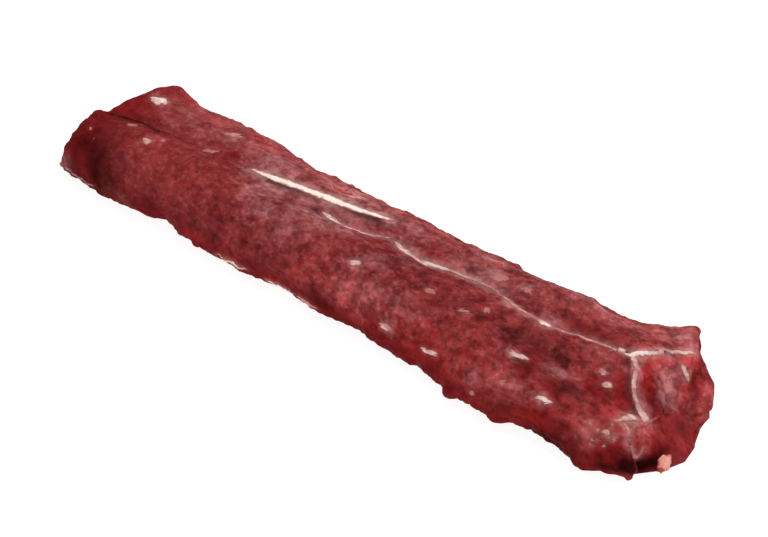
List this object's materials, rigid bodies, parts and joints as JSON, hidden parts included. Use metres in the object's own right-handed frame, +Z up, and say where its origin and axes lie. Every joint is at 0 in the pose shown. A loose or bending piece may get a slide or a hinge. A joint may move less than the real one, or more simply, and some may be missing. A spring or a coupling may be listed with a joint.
{
  "type": "raw beef striploin",
  "caption": "Long raw beef striploin trimmed of fat: a thick eye muscle with a narrower chain muscle along its side, a seam between them, a rounded end and a slanting cut end.",
  "frame": {"origin": "centre of the bounding box's underside, on the surface it lies on", "axes": "+X runs along the meat from the rounded rib end to the slanting cut, +Y across it to the chain muscle's side, +Z up"},
  "size_m": [0.5544, 0.1408, 0.0556],
  "materials": {
    "meat": "moist raw lean beef, dark red and mottled, with white silverskin and fat in thin strips and specks"
  },
  "bodies": {
    "root": {"striploin": "meat"}
  },
  "joints": []
}
